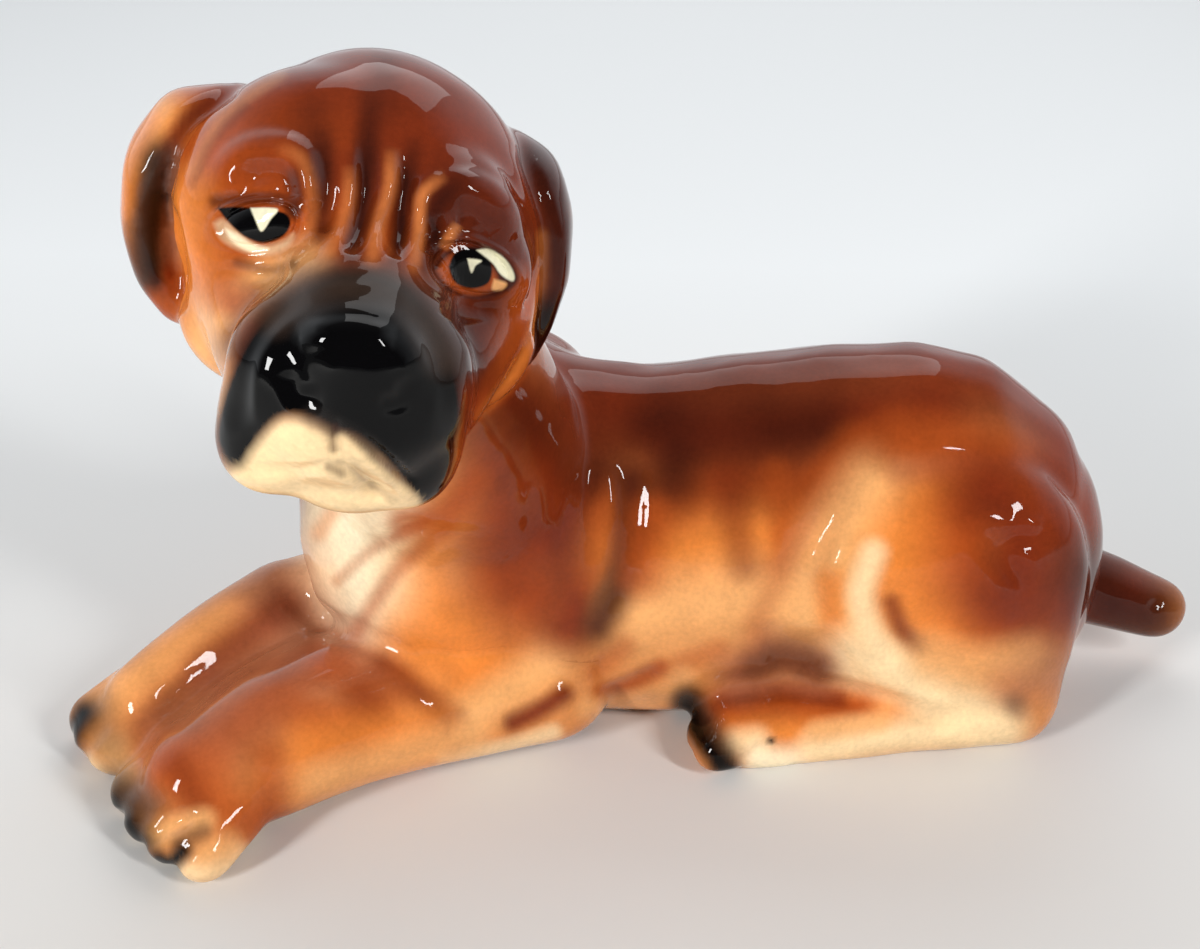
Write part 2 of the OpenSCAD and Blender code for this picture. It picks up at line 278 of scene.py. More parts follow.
HEAD_SPRAYS = [
    (RED_BROWN, 12.0, 0.95, [(-5, 17), (4, 15), (12, 8)]),
    (RED_BROWN, 5.0, 0.3, [(-10, 11), (-4, 8)]),
    (RED_BROWN, 4.0, 0.8, [(-4, 7), (2, 6), (6, 5)]),
    (ORANGE, 4.5, 0.9, [(-18, 4), (-18, -4), (-17, -11), (-15, -16)]),
    (SAND, 3.2, 0.85, [(-16, -9), (-14, -5.4), (-10.6, -3.6), (-6, -1.8)]),
    (ORANGE, 2.2, 0.7, [(-14.6, -1.6), (-14.2, -5)]),
    (SAND, 2.6, 0.8, [(-15.4, -11), (-14.6, -15)]),
    (RUST, 3.0, 0.6, [(-14, -4), (-13, 4)]),
    (RUST, 1.6, 0.6, [(-12.8, -5.6), (-11.4, -4.8)]),
    (DARK, 2.4, 0.6, [(1.6, 17), (1.2, 13), (0.0, 8)]),
    (DARK, 2.4, 0.4, [(-5.4, 13), (-5.0, 8)]),
    (SAND, 0.9, 0.2, [(-8.6, 16.6), (-14, 12.6), (-17, 7.4)]),
    (DARK, 0.7, 0.3, [(-12.0, 13.4), (-15.0, 10.2), (-17.0, 6.0)]),
    (RED_BROWN, 8.5, 1.0, [(6, 10), (11, 5), (14, -3), (12, -9)]),
    (DARK, 5.0, 0.65, [(9, 4), (13, 0), (13, -6)]),
    (RUST, 3.4, 0.9, [(16, -5), (13.4, -11), (10.6, -15)]),
    # a thin orange line along the edge of the dog's left cheek and jowl: painted highlight of the rim
    (ORANGE, 0.8, 0.6, [(17.0, 1.0), (16.8, -5.0), (14.8, -11.4), (10.6, -16.4)]),
    (RED_BROWN, 3.2, 0.9, [(8.6, -9), (9.8, -13), (9.4, -17)]),
    (DARK, 4.0, 0.6, [(10.5, -7), (10.8, -11)]),
    # brow and its hollow; the red-brown in the hollow is painted shade
    (RED_BROWN, 2.4, 0.3, [(-12.6, 6.6), (-9.6, 7.2), (-7.6, 5.6)]),
    (DARK, 0.9, 0.7, [(-14.8, 4.3), (-12.0, 4.5), (-8.6, 4.5), (-7.2, 3.6)]),
    (DARK, 0.7, 0.5, [(-12.6, -1.6), (-9.6, -2.3), (-7.2, -1.7)]),
    # muzzle
    (SMOKE, 2.6, 0.7, [(-12.8, -9.6), (-8.6, -5.0), (-3.0, -2.8), (2.6, -3.4), (6.4, -6.8), (8.6, -12)]),
    (SMOKE, 2.0, 0.5, [(6.0, -2.0), (8.0, -7.0), (9.8, -11.0)]),
]
# The wrinkles: darker along the creases as painted shade, and tan along the ridges and the inner brow as
# painted highlight, sprayed with the gun lifted towards both ends of each line
WRINKLE_SHADE_AND_HIGHLIGHT = [
    (DARK, 1.5, 0.8, [(-4.6, 12.0), (-4.2, 5.0), (-4.8, -0.4)]),
    (DARK, 1.5, 1.0, [(0.2, 16.0), (-0.2, 6.0), (-1.0, 1.2), (-2.2, -2.4)]),
    (DARK, 1.3, 1.0, [(4.6, 11.0), (3.5, 4.6), (3.1, 1.6), (2.4, -3.0)]),
    (DARK, 1.4, 1.0, [(9.6, 7.0), (6.8, 4.0), (6.4, 1.0), (6.0, -3.0)]),
    (DARK, 1.0, 0.7, [(-7.6, 7.8), (-6.8, 4.4), (-7.6, 2.4)]),
    (RIDGE_HIGHLIGHT_TAN, 0.9, 0.5, [(-1.8, 8.0), (-1.9, 4.4), (-3.0, 1.0), (-5.2, -1.6)]),
    (RIDGE_HIGHLIGHT_TAN, 0.9, 0.7, [(2.3, 9.6), (2.1, 5.6), (1.1, 2.2), (0.2, -2.6)]),
    (RIDGE_HIGHLIGHT_TAN, 0.8, 0.85, [(7.6, 7.0), (5.4, 5.2), (5.0, 3.2), (4.9, 0.8), (4.3, -3.0)]),
    (RIDGE_HIGHLIGHT_TAN, 0.7, 0.9, [(8.8, 2.2), (8.0, 1.0), (7.2, -0.4)]),
    (RIDGE_HIGHLIGHT_TAN, 0.9, 0.45, [(-9.0, 9.6), (-6.4, 8.4), (-5.4, 5.0), (-5.8, 1.4), (-7.0, -1.6)]),
]
# Closed shapes brushed on by hand: (colour, softness of the edge, outline)
MUZZLE_PAINT = [
    (CREAM, 1.2, [(-13.0, -19.4), (-11.0, -18.0), (-9.0, -16.6), (-6.5, -16.4), (-4.0, -17.4),
                  (-2.0, -18.2), (0.4, -19.4), (2.4, -21.4), (4.4, -23.6), (6.6, -26.5), (0.0, -29.0),
                  (-8.0, -28.0), (-14.0, -24.0)]),
    (BLACK, 0.7, [(-3.0, -2.4), (1.2, -2.6), (4.6, -4.4), (7.0, -7.8), (8.6, -11.8), (9.3, -15.7),
                  (8.8, -19.0), (8.2, -22.0), (6.4, -25.4), (4.6, -24.7), (3.2, -22.9), (1.4, -20.8),
                  (-1.0, -18.8), (-3.6, -17.8), (-6.0, -16.7), (-8.2, -16.6), (-9.8, -17.9),
                  (-11.2, -19.8), (-12.2, -21.3), (-13.8, -21.2), (-15.0, -18.6), (-14.4, -15.0),
                  (-13.2, -11.6), (-11.6, -8.6), (-9.4, -6.0), (-6.4, -3.9)]),
]
LIP_SPRAYS = [
    (SOOT, 2.4, 0.75, [(-9.0, -6.8), (-6.4, -5.0), (-2.4, -3.8), (2.6, -4.4), (5.6, -7.4), (7.4, -11.0)]),
    (DARK, 0.6, 0.75, [(-3.2, -17.6), (-3.3, -19.6)]),
    (SMOKE, 1.4, 0.55, [(-5.4, -16.6), (-2.6, -18.0), (0.0, -19.6)]),
    (DARK, 0.6, 0.55, [(-3.8, -21.4), (-2.6, -22.0)]),
    (DARK, 0.8, 0.8, [(0.2, -20.6), (1.8, -21.8), (3.8, -23.8)]),
    (CREAM, 0.9, 0.9, [(-2.6, -18.9), (1.0, -21.9), (4.4, -24.7)]),
    (DARK, 0.6, 0.35, [(-1.4, -21.4), (2.4, -24.6)]),
]
EYE_PAINT = [
    # the dog's right eye
    (EYE_RIM, 0.3, [(-14.9, 2.2), (-14.0, 2.6), (-12.4, 1.4), (-10.4, 0.0), (-8.4, 0.4), (-7.2, 1.2),
                    (-7.8, -0.1), (-9.8, -0.9), (-12.4, -0.4), (-14.2, 0.7)]),
    (WHITE, 0.2, [(-13.8, 1.7), (-12.6, 1.1), (-11.2, 0.2), (-9.6, -0.3), (-11.4, -0.5), (-13.2, 0.5)]),
    (BLACK, 0.12, [(-14.6, 3.7), (-12.6, 3.8), (-9.5, 3.5), (-7.9, 3.1), (-7.5, 2.1), (-8.3, 0.9),
                   (-10.1, 0.3), (-11.9, 0.9), (-13.4, 2.2)]),
    (EYE_WHITE, 0.08, [(-11.4, 3.7), (-8.8, 3.6), (-9.4, 2.6), (-10.3, 1.4), (-10.9, 2.5)]),
    # the dog's left eye
    (DARK, 0.2, [(6.3, -2.2), (7.6, -0.6), (10.4, 0.0), (12.8, -0.6), (14.4, -2.6), (14.2, -3.8),
                 (12.4, -4.8), (9.6, -5.0), (7.4, -4.0)]),
    (RUST, 0.3, [(6.7, -2.4), (7.8, -1.0), (9.6, -0.6), (12.0, -2.2), (12.4, -4.0), (10.0, -4.7),
                 (7.8, -3.8)]),
    (BLACK, 0.12, [(7.8, -2.0), (8.4, -0.7), (9.9, -0.2), (11.4, -0.8), (12.0, -2.2), (11.6, -3.6),
                   (10.0, -4.1), (8.4, -3.5)]),
    (EYE_WHITE, 0.1, [(10.5, -0.4), (11.7, -0.3), (13.2, -1.2), (14.1, -2.6), (14.0, -3.4),
                      (12.9, -2.8), (12.0, -1.6)]),
    (SAND, 0.15, [(12.2, -3.2), (13.4, -3.6), (13.0, -4.2), (12.0, -4.2)]),
    (EYE_WHITE, 0.08, [(9.6, -1.2), (11.0, -1.4), (10.4, -1.9), (10.0, -2.6)]),
]

# --- Ears ------------------------------------------------------------------------------------
# Two thin flaps that fold over at the root and hang beside the cheeks, rolled by hand and
# luted to the skull. The dog's right one stands off a little, the left one lies close.

EAR_STANDS_OFF = {"left_ear": 1.6, "right_ear": 5.3}
EAR_SIDE = {"left_ear": 1, "right_ear": -1}


def shape_ear(clay, name, spare=0.0):
    side, flare = EAR_SIDE[name], EAR_STANDS_OFF[name]
    bm = bmesh.new()
    flap = [
        (12.4 + 0.45 * flare, 4.5, 9.6, 3.0, 6.5, 2.8),
        (14.8 + 1.02 * flare, 4.0, 8.0, 3.0, 7.5, 3.0),
        (17.0 + 1.14 * flare, 3.6, 3.2, 2.6, 7.8, 4.0),
        (17.8 + flare, 3.0, -1.5, 2.5, 7.2, 4.0),
        (17.6 + 0.75 * flare, 2.0, -6.0, 2.4, 5.8, 4.0),
        (17.2 + 0.3 * flare, 0.5, -10.0, 2.2, 3.8, 2.8),
    ]
    skin(bm, *[((x * side, y, z), (rx, ry, rz)) for x, y, z, rx, ry, rz in flap], spare=spare)
    # the clay pressed in behind the flap
    if not spare:
        skin(bm, ((12.5 * side, 4, 6), (5, 7, 6)), (((15.6 + 0.5 * flare) * side, 3.0, -2), (3.4, 6.5, 7)))
    bmesh.ops.transform(bm, matrix=HEAD, verts=bm.verts)
    add(clay, bm)


EAR_STROKES = [
    # where the ears meet the skull
    (1.0, -1.0, [(-12.6, 15.4), (-16.8, 13.0), (-19.0, 9.6), (-19.6, 5.2)]),
    (0.9, -0.8, [(-19.4, 4.0), (-18.6, -1.0), (-18.3, -6.8)]),
    (1.0, -0.7, [(14.3, 10.0), (16.6, 5.2), (17.8, 0.0), (17.4, -5.0), (15.6, -11.4)]),
]
# a mauve brown; some lines of it below are painted reflection along edges, and painted shade in the hollow
# above the hind foot
MAUVE = (0.62, 0.37, 0.26)
EAR_SPRAYS = [
    (ORANGE, 5.0, 1.0, [(-21, 13), (-23, 8), (-24, 2)]),
    (SAND, 3.0, 0.6, [(-20.5, 13.4), (-23, 9)]),
    # red-brown along the crease where the dog's right ear meets the skull: painted shade
    (RED_BROWN, 1.4, 0.9, [(-13.4, 15.0), (-17, 12.6), (-19.2, 9.0), (-19.6, 5.4)]),
    (MAUVE, 1.6, 0.8, [(-18.8, 8.4), (-19.0, 1.0), (-19.2, -4.0)]),
    (SMOKE, 3.2, 0.95, [(-20.8, 8.4), (-21.4, 3.0), (-21.6, -1.0), (-20.8, -4.0)]),
    (ORANGE, 2.2, 0.9, [(-22.0, 12.4), (-24.0, 8.4), (-24.8, 4.0)]),
    (RUST, 2.4, 0.9, [(-18.6, -3.6), (-19.4, -6.4), (-20.6, -6.0)]),
    (BLACK, 0.8, 0.7, [(-20.3, 5.0), (-20.8, 0.0), (-20.4, -3.4)]),
    (RED_BROWN, 3.0, 0.9, [(15.0, 10.0), (19.0, 6.0), (21.0, 0.0)]),
    (DARK, 3.4, 1.0, [(16.4, 8.6), (18.8, 3.0), (18.8, -3.0), (17.4, -8.0)]),
    (BLACK, 2.6, 0.9, [(17.2, -7.0), (16.0, -11.0), (14.8, -13.8)]),
    # mauve along the outer edge of the dog's left ear: painted reflection
    (MAUVE, 1.2, 0.7, [(20.6, 3.4), (21.4, 0.4), (20.2, -3.4)]),
]

# --- Forelegs --------------------------------------------------------------------------------
# Both lie flat in front, their paws turned in to the dog's left. The clay between them is
# filled in, so that they leave the mould together, with only a valley along the top.

PAW_WAY = np.array([-0.70, -0.71, 0.0])
PAW_ACROSS = np.array([-0.71, 0.70, 0.0])
# elbow, forearm, wrist and paw: x, y, z, radius
LEG_BALLS = {
    "left": [(5, -13.9, 9.5, 9.5), (-7.4, -18.0, 9.8, 9.8), (-19.5, -22.6, 9.5, 9.6),
             (-29.0, -28.6, 8.8, 9.2), (-37.0, -33.6, 6.6, 7.6)],
    "right": [(-8, 5.0, 9.5, 9.5), (-20, 3.0, 9.5, 9.3), (-32, -2.4, 9.2, 8.7), (-41.4, -10.0, 7.8, 7.2),
              (-48.0, -18.0, 6.0, 6.4)],
}
TOE_SPREAD = {"left": 15.0, "right": 10.5}
VALLEY = [(-18, -3, 5, 6), (-30, -8.5, 5, 6), (-38.5, -18.5, 4.4, 5.6), (-43.5, -26, 3.4, 4.4)]


def shape_foreleg(clay, side, spare=0.0):
    balls = LEG_BALLS[side]
    roll(clay, *balls, spare=spare)
    paw = np.array([*balls[-1][:2], 0.0])
    for i in range(4):
        out = (i / 3 - 0.5) * TOE_SPREAD[side]
        reach = 4.6 + 2.0 * math.sin(math.pi * (i + 0.4) / 3.8)
        roll(clay, (*(paw + 0.7 * out * PAW_ACROSS + (0, 0, 5.2)), 4.8),
             (*(paw + out * PAW_ACROSS + reach * PAW_WAY + (0, 0, 3.6)), 3.9), spare=spare)
    if side == "left":
        for i in range(3):
            slab = balls[i + 1:i + 3] + VALLEY[i:i + 2]
            drape(clay, *[(b[:3], (b[3],) * 3) for b in slab], spare=spare)


FORELEG_STROKES = [
    (2.4, -0.7, [(-29.5, -17.0), (-34.0, -20.5), (-39.0, -24.5), (-42.0, -27.0)]),
    (1.0, -0.7, [(-43.2, -39.6), (-41.2, -37.6), (-38.4, -36.4)]),
    (1.0, -0.65, [(-40.4, -41.8), (-38.8, -39.3), (-36.4, -37.9)]),
    (0.9, -0.4, [(-46.6, -37.2), (-44.4, -35.4)]),
    (1.2, -0.3, [(-35.4, -38.6), (-32.0, -36.4)]),
    (1.6, -0.3, [(-33.4, -31.4), (-31.4, -33.2)]),
    (1.0, -0.45, [(-50.0, -31.4), (-48.0, -29.0), (-46.8, -27.0)]),
]
FORELEG_SPRAYS = [
    (ORANGE, 7.0, 0.6, [(-30, -14), (-38, -20), (-44, -25)]),
    (SAND, 4.0, 0.6, [(-37, -17), (-43, -22), (-47, -25)]),
    (MAUVE, 4.0, 0.7, [(-31, -13), (-30, -16)]),
    # red-brown along the valley between the forelegs: painted shade
    (RED_BROWN, 3.0, 0.85, [(-29.6, -16.6), (-34, -20), (-37, -22.4)]),
    (RED_BROWN, 2.0, 0.6, [(-37, -22.6), (-40, -25), (-43, -27.4)]),
    (MAUVE, 6.5, 1.0, [(-27, -21), (-33, -25), (-39, -29.5)]),
    (RUST, 4.0, 0.5, [(-30, -25), (-36, -30)]),
    (RUST, 4.5, 0.8, [(-24, -22), (-21, -26), (-26, -28)]),
    (RED_BROWN, 2.2, 0.75, [(-20, -22), (-16.6, -24.6), (-13.6, -27)]),
    (RED_BROWN, 2.6, 0.5, [(-22, -24.5), (-21, -26.5)]),
    (ORANGE, 3.5, 0.7, [(-27, -30), (-20, -29), (-15, -28.6)]),
    (SAND, 2.6, 0.7, [(-26, -33), (-19, -31), (-12, -29)]),
    (RUST, 4.5, 0.85, [(-41, -32), (-37, -34.5), (-33, -37)]),
    (RED_BROWN, 2.0, 0.5, [(-40, -31.5), (-38, -35.2)]),
    (RUST, 2.6, 0.7, [(-31, -31), (-31, -36)]),
    (SAND, 2.4, 0.9, [(-46.5, -30), (-45.6, -32.4)]),
    (CREAM, 1.6, 0.9, [(-49, -31.6), (-47.4, -33)]),
    (SAND, 1.6, 0.85, [(-42.4, -38.6), (-40, -37.4), (-37.4, -36.8)]),
    (CREAM, 1.9, 0.8, [(-40, -42), (-37, -42), (-34, -40.6)]),
    (SAND, 2.0, 0.7, [(-37, -40), (-35, -39.4)]),
    (SMOKE, 3.0, 0.55, [(-47.6, -26.4), (-46.8, -29)]),
    (SMOKE, 2.6, 0.75, [(-45.6, -33), (-43, -35.4)]),
    (BLACK, 1.9, 1.0, [(-49.0, -26.4), (-50.0, -28.2), (-50.4, -30)]),
    (BLACK, 2.5, 1.0, [(-46.2, -35.0), (-44.6, -37.4), (-43.6, -39.0)]),
    (BLACK, 1.3, 1.0, [(-41.8, -40.6), (-40.6, -40.9), (-39.4, -39.8)]),
    (SMOKE, 1.2, 0.6, [(-39.8, -39.0), (-37.4, -37.8)]),
]

# --- Hind legs -------------------------------------------------------------------------------
# Haunch, shank and foot in one casting of the same clay on each side, folded up and lying
# flat, luted to the flank. The far one is the mirror of the near one.


def shape_hind_leg(clay, side, spare=0.0):
    s = {"left": -1, "right": 1}[side]
    thigh, knee, heel = ((60, 12.0 * s, 24.0), (16.5, 9.8, 19.5)), (45.5, 14.6 * s, 28), (68, 12.6 * s, 6.2)
    skin(clay, thigh, ((51, 13.5 * s, 27), (11, 8.8, 14)), (knee, (8, 7.8, 9.5)), spare=spare)
    skin(clay, thigh, ((64, 11.5 * s, 12), (12, 9, 10)), (heel, (7.5, 6.8, 6.6)), spare=spare)
    skin(clay, ((45.5, 15.2 * s, 26), (7, 6.8, 8)), ((51, 14.5 * s, 14), (6.5, 6.2, 7)),
         ((56, 14.5 * s, 7), (6, 6, 6)), spare=spare)
    roll(clay, (68.5, 12.6 * s, 6, 6.8), (56, 14.4 * s, 5.2, 6.1), (40, 17 * s, 4.6, 5.9),
         (31.5, 18.4 * s, 4.2, 5.6), spare=spare)
    for i in (-1, 0, 1):
        roll(clay, (31.5, 18.6 * s + 2.6 * i, 4.4, 3.4),
             (27.0 + abs(i), 18.6 * s + 3.4 * i, 3.2, 3.1), spare=spare)


HIND_LEG_STROKES = [
    # thigh
    (2.2, -1.1, [(26.4, -1.5), (23.4, -7.0), (20.4, -12.0), (18.4, -17.0), (15.6, -20.4)]),
    (2.0, -1.0, [(29.6, -13.5), (29.0, -16.5), (30.2, -19.5), (33.4, -22.2)]),
    (2.2, -0.35, [(28.0, -3.8), (33.0, -3.0), (38.0, -4.0), (43.0, -7.0)]),
    (2.0, 0.8, [(26.5, -5.0), (24.6, -9.5), (23.8, -14.0), (25.0, -18.5), (28.6, -21.8), (33.0, -23.6)]),
    (1.6, 0.35, [(28.4, -10.0), (26.7, -13.5), (26.5, -17.0)]),
    (1.7, 0.7, [(40.8, -7.2), (37.4, -8.2), (37.2, -11.4), (39.0, -14.4), (41.2, -17.6)]),
    (1.3, -0.5, [(42.8, -9.0), (40.2, -10.6), (42.6, -15.0)]),
    (0.9, 0.35, [(43.8, -8.2), (41.4, -7.8)]),
    (0.9, 0.35, [(43.6, -12.2), (41.0, -10.8)]),
    (3.4, -1.9, [(16.8, -21.6), (20.0, -21.0), (22.4, -22.2)]),
    (1.5, -1.1, [(12.0, -24.0), (17.0, -23.7), (24.0, -24.4), (31.0, -26.2), (38.0, -27.8)]),
    (1.8, -0.3, [(40.6, -26.4), (43.2, -24.2)]),
    # hind toes
    (0.8, -0.55, [(14.9, -32.2), (15.1, -30.9), (17.2, -29.6), (19.4, -30.3), (20.2, -31.8)]),
    (0.8, -0.4, [(10.2, -27.2), (11.8, -26.4)]),
    (0.5, -0.5, [(17.5, -29.1)]),
]
THIGH_SPRAYS = [
    # rust along the groove at the front of the thigh: painted shade
    (RUST, 3.4, 0.9, [(26, -1), (22.6, -6), (20, -11)]),
    (RUST, 2.6, 0.6, [(19, -13), (17, -18)]),
    (SAND, 5.0, 1.0, [(28, -5), (25, -9), (22.6, -14), (21, -17)]),
    (SAND, 4.0, 1.0, [(24, -14), (25, -19), (30, -22), (36, -22)]),
    (ORANGE, 2.2, 0.85, [(23.4, -14), (23.8, -18), (25.6, -21)]),
    (ORANGE, 6.0, 1.0, [(33, -7), (30.5, -12), (34, -17), (37, -19.5)]),
    # a cream line along the ridge on the thigh: painted highlight
    (CREAM, 1.8, 0.85, [(27.4, -11), (26.2, -15), (27.4, -19), (30, -22)]),
    (RUST, 4.0, 0.9, [(30, 0), (36, -1), (41, -3), (44, -6)]),
    # mauve along the top of the haunch: painted reflection
    (MAUVE, 1.8, 0.4, [(30, -3.2), (36, -2.6), (40, -3.4)]),
    (RUST, 7.0, 1.0, [(37, -7), (37, -12), (40, -16), (42, -12)]),
    (RED_BROWN, 6.0, 1.0, [(39, -5), (42, -9), (41, -15)]),
    (RED_BROWN, 3.0, 0.8, [(45, -3), (46, -9)]),
    # red-brown in the crease inside the haunch: painted shade
    (RED_BROWN, 1.3, 0.8, [(29.2, -15.8), (30.0, -18), (31.6, -20.2)]),
    (CREAM, 3.6, 1.0, [(25, -21), (31, -24.0), (37, -26.4), (39.5, -28)]),
    (SAND, 3.0, 0.7, [(33, -21), (38, -22), (43, -21)]),
    (MAUVE, 3.4, 0.6, [(41, -24), (44.5, -23)]),
    (SMOKE, 1.6, 0.5, [(41.2, -25.6)]),
]
HIND_FOOT_SPRAYS = [
    (ORANGE, 4.0, 0.9, [(14, -28), (22, -27.5), (28, -27.5)]),
    (RUST, 2.4, 0.95, [(12, -26), (18, -25.4), (26, -26.2)]),
    (RED_BROWN, 1.3, 0.8, [(13, -25.0), (18, -24.2), (24, -25.0)]),
    # mauve and dark in the hollow between the haunch and the foot: painted shade
    (MAUVE, 3.4, 0.9, [(14.5, -22.8), (18, -21.2), (22, -22)]),
    (DARK, 2.2, 0.6, [(16.0, -21.6), (19, -20.8), (22, -22)]),
    (CREAM, 2.6, 1.0, [(22, -30.2), (29, -29), (34, -28.6), (39, -28.6)]),
    (SAND, 1.5, 0.8, [(22, -28.2), (28, -27.2)]),
    (CREAM, 1.9, 0.8, [(14.2, -29.4), (16, -29.2)]),
    (WHITE, 2.4, 1.0, [(16.6, -31.4), (19.2, -31.6)]),
    (SMOKE, 2.0, 0.8, [(9.6, -25), (11.6, -28), (13.2, -30.4)]),
    (BLACK, 1.8, 1.0, [(9.2, -25.6), (10.4, -28.2), (12.4, -31.0)]),
    (BLACK, 1.3, 1.0, [(12.8, -31.6), (13.6, -31.8)]),
    (BLACK, 0.5, 1.0, [(17.5, -29.1)]),
]

# --- Tail ------------------------------------------------------------------------------------
# A short docked tail, rolled by hand from the same clay. It is luted on low down behind,
# a little to the dog's right.


def shape_tail(clay, spare=0.0):
    roll(clay, (74, 4, 16, 6.2), (85.5, 4.8, 11.8, 5.5), (93.5, 5.0, 8.8, 4.6), spare=spare)


TAIL_STROKES = [(0.8, -0.4, [(54.4, -15.4), (55.2, -16.4)])]
TAIL_SPRAYS = [
    (RED_BROWN, 7.0, 1.0, [(47, -16), (52, -15)]),
    (DARK, 5.0, 0.9, [(49, -13), (51, -16), (54, -17)]),
]

# --- The whole master ------------------------------------------------------------------------
# All the parts luted together, smoothed with a wet sponge and then tooled, as the plaster
# mould's master was.

GRAIN = 0.6                     # fineness of the clay's surface
SPONGINGS = 12
clay = bmesh.new()
shape_trunk(clay)
shape_head(clay)
for name in EAR_SIDE:
    shape_ear(clay, name)
for side in LEG_BALLS:
    shape_foreleg(clay, side)
    shape_hind_leg(clay, side)
shape_tail(clay)


def solid(clay, name, voxel):
    """Presses overlapping lumps, in millimetres, into one skin of an even grain."""
    bmesh.ops.translate(clay, verts=clay.verts, vec=SHOULDERS)
    bmesh.ops.scale(clay, verts=clay.verts, vec=(MM, MM, MM))
    mesh = bpy.data.meshes.new(name)
    clay.to_mesh(mesh)
    clay.free()
    ob = bpy.data.objects.new(name, mesh)
    bpy.context.scene.collection.objects.link(ob)
    fuse = ob.modifiers.new("fuse", "REMESH")
    fuse.mode = "VOXEL"
    fuse.voxel_size = voxel * MM
    ob.data = bpy.data.meshes.new_from_object(ob.evaluated_get(bpy.context.evaluated_depsgraph_get()))
    ob.modifiers.clear()
    return ob


def weld(ob):
    """The mesh's points, in millimetres from the shoulders, and the edges between them."""
    me = ob.data
    co = np.empty(len(me.vertices) * 3)
    me.vertices.foreach_get("co", co)
    ends = np.empty(len(me.edges) * 2, dtype=np.int64)
    me.edges.foreach_get("vertices", ends)
    return co.reshape(-1, 3) / MM - SHOULDERS, ends.reshape(-1, 2)


def put(ob, co):
    """Gives the mesh its points back, none of them below the ground."""
    co = co.copy()
    co[:, 2] = np.maximum(co[:, 2], 0.0)
    ob.data.vertices.foreach_set("co", ((co + SHOULDERS) * MM).ravel())
    ob.data.update()


def sponge(co, ends, times):
    """Softens the clay."""
    count = np.bincount(ends.ravel(), minlength=len(co))[:, None]
    for _ in range(times):
        total = np.stack([np.bincount(ends[:, 0], co[ends[:, 1], i], len(co))
                          + np.bincount(ends[:, 1], co[ends[:, 0], i], len(co)) for i in range(3)], 1)
        co = co + (total / count - co) * 0.6
    return co


def normals(ob):
    n = np.empty(len(ob.data.vertices) * 3)
    ob.data.vertex_normals.foreach_get("vector", n)
    return n.reshape(-1, 3)


# The modeller's sight line on the figure, from in front of its face and a little above.
# Tool marks and paint are given in millimetres across it, at an arm's length of 150 mm.
camera = bpy.data.objects.new("camera", bpy.data.cameras.new("camera"))
bpy.context.scene.collection.objects.link(camera)
camera.data.sensor_width = 36.0
camera.data.lens = 46.5
camera.data.clip_start = 0.005
EYE = SHOULDERS + (12.0, -181.0, 140.0)
LOOK = Matrix.Rotation(math.radians(59.33), 4, "X") @ Matrix.Rotation(math.radians(1.03), 4, "Z")
camera.matrix_world = Matrix.Translation(Vector(EYE) * MM) @ LOOK
bpy.context.scene.camera = camera
REACH = 150.0
ACROSS = np.array(LOOK.to_3x3())
BETWEEN_EYES = np.array([-22.45, 22.11])
SHOULDER_SPOT = np.array([-0.97, 3.34])
FAR_SIDE = np.array([1, -1, 1])


def sight(co):
    """Places in millimetres across the sight line, at arm's length."""
    local = (co + SHOULDERS - EYE) @ ACROSS
    return REACH * local[:, :2] / -local[:, 2:]


def in_head(co):
    """Above the throat seam, where the head is luted on."""
    return np.clip((co[:, 2] - 56.0 - 0.24 * (co[:, 1] + 46)) / 2.0 + 0.5, 0, 1) * (co[:, 0] < 14)


def curve(path, steps=6):
    """A smooth line through a few points."""
    p = np.array([path[0], *path, path[-1]], float)
    out = []
    for i in range(1, len(p) - 2):
        for t in np.linspace(0, 1, steps, endpoint=False):
            out.append(0.5 * (2 * p[i] + (p[i + 1] - p[i - 1]) * t
                              + (2 * p[i - 1] - 5 * p[i] + 4 * p[i + 1] - p[i + 2]) * t * t
                              + (3 * p[i] - p[i - 1] - 3 * p[i + 1] + p[i + 2]) * t ** 3))
    return out + [p[-2]]


def distance(points, path):
    """How far every point is from a drawn line or a single spot, and how far along it, 0 to 1."""
    path = np.array(path if len(path) > 1 else [path[0], path[0]], float)
    best, place = np.full(len(points), 1e9), np.zeros(len(points))
    for i, (a, b) in enumerate(zip(path, path[1:])):
        along = np.clip(((points - a) @ (b - a)) / max((b - a) @ (b - a), 1e-9), 0, 1)
        d = np.linalg.norm(points - a - along[:, None] * (b - a), axis=1)
        place = np.where(d < best, (i + along) / (len(path) - 1), place)
        best = np.minimum(best, d)
    return best, place


def dab(points, width, path, lift=False):
    """1 along a smooth line and 0 beyond its width. A tool is lifted towards both ends."""
    path = np.array(path, float)
    out = np.zeros(len(points))
    near = ((points > path.min(0) - 1.5 * width) & (points < path.max(0) + 1.5 * width)).all(1)
    d, place = distance(points[near], curve(path) if len(path) > 2 else path)
    out[near] = np.clip(1 - (d / width) ** 2, 0, 1) ** 2
    if lift and len(path) > 1:
        out[near] *= np.clip(4 * place * (1 - place) * 1.4, 0, 1)
    return out


def facing(n):
    """How far each point faces the sight line."""
    return n @ ACROSS[:, 2]


def closer(ob, near, cuts):
    """Closer clay where finer tooling comes."""
    bm = bmesh.new()
    bm.from_mesh(ob.data)
    edges = [e for e in bm.edges if near[e.verts[0].index] and near[e.verts[1].index]]
    bmesh.ops.subdivide_edges(bm, edges=edges, cuts=cuts, use_grid_fill=True)
    bm.to_mesh(ob.data)
    bm.free()


master = solid(clay, "master", GRAIN)
co, ends = weld(master)
put(master, sponge(co, ends, SPONGINGS))
